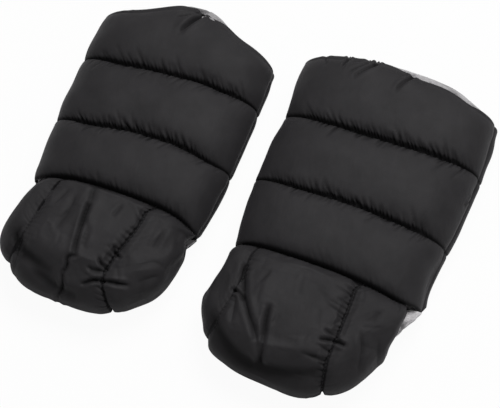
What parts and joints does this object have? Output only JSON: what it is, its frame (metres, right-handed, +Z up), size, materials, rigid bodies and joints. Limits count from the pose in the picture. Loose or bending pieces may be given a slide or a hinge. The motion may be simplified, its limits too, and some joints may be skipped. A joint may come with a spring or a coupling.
{
  "type": "stroller hand muff",
  "caption": "Pair of quilted padded hand muffs for a stroller handlebar, each with a fleece-lined cuff, a darted toe and a flap that closes under the bar with press studs.",
  "frame": {"origin": "centre of the pair's bounding box, on the surface that both muffs lie on", "axes": "+X across the pair from the left muff to the right one, along a handlebar; +Y from the toes towards the wrist openings; +Z up"},
  "size_m": [0.3864, 0.3212, 0.064],
  "materials": {
    "shell_cloth": "black woven nylon with a soft sheen",
    "wadding_fibre": "white polyester wadding",
    "fleece_lining": "light grey short-pile fleece",
    "snap_metal": "black lacquered press stud"
  },
  "bodies": {
    "right_muff": {"right_top_shell": "shell_cloth", "right_top_wadding": "wadding_fibre", "right_under_shell": "shell_cloth", "right_under_wadding": "wadding_fibre", "right_cuff_lining": "fleece_lining", "right_toe_shell": "shell_cloth", "right_toe_wadding": "wadding_fibre", "right_toe_lining": "fleece_lining", "right_snap_stud_1": "snap_metal", "right_snap_stud_2": "snap_metal", "right_snap_post_1": "snap_metal", "right_snap_post_2": "snap_metal"},
    "right_flap": {"right_flap_shell": "shell_cloth", "right_flap_wadding": "wadding_fibre", "right_flap_lining": "fleece_lining", "right_snap_cap_1": "snap_metal", "right_snap_cap_2": "snap_metal", "right_snap_socket_1": "snap_metal", "right_snap_socket_2": "snap_metal"},
    "left_muff": {"left_top_shell": "shell_cloth", "left_top_wadding": "wadding_fibre", "left_under_shell": "shell_cloth", "left_under_wadding": "wadding_fibre", "left_cuff_lining": "fleece_lining", "left_toe_shell": "shell_cloth", "left_toe_wadding": "wadding_fibre", "left_toe_lining": "fleece_lining", "left_snap_stud_1": "snap_metal", "left_snap_stud_2": "snap_metal", "left_snap_post_1": "snap_metal", "left_snap_post_2": "snap_metal"},
    "left_flap": {"left_flap_shell": "shell_cloth", "left_flap_wadding": "wadding_fibre", "left_flap_lining": "fleece_lining", "left_snap_cap_1": "snap_metal", "left_snap_cap_2": "snap_metal", "left_snap_socket_1": "snap_metal", "left_snap_socket_2": "snap_metal"}
  },
  "joints": [
    {"name": "right_flap_hinge", "type": "hinge", "parent": "right_muff", "child": "right_flap", "pos_m": [0.0978, -0.048, 0.0057], "axis": [1, 0, 0], "range_deg": [0, 135]},
    {"name": "left_muff_slide", "type": "slide", "parent": "right_muff", "child": "left_muff", "axis": [-1, 0, 0], "range_m": [0, 0.25]},
    {"name": "left_flap_hinge", "type": "hinge", "parent": "left_muff", "child": "left_flap", "pos_m": [-0.1011, -0.048, 0.0057], "axis": [1, 0, 0], "range_deg": [0, 135]}
  ]
}
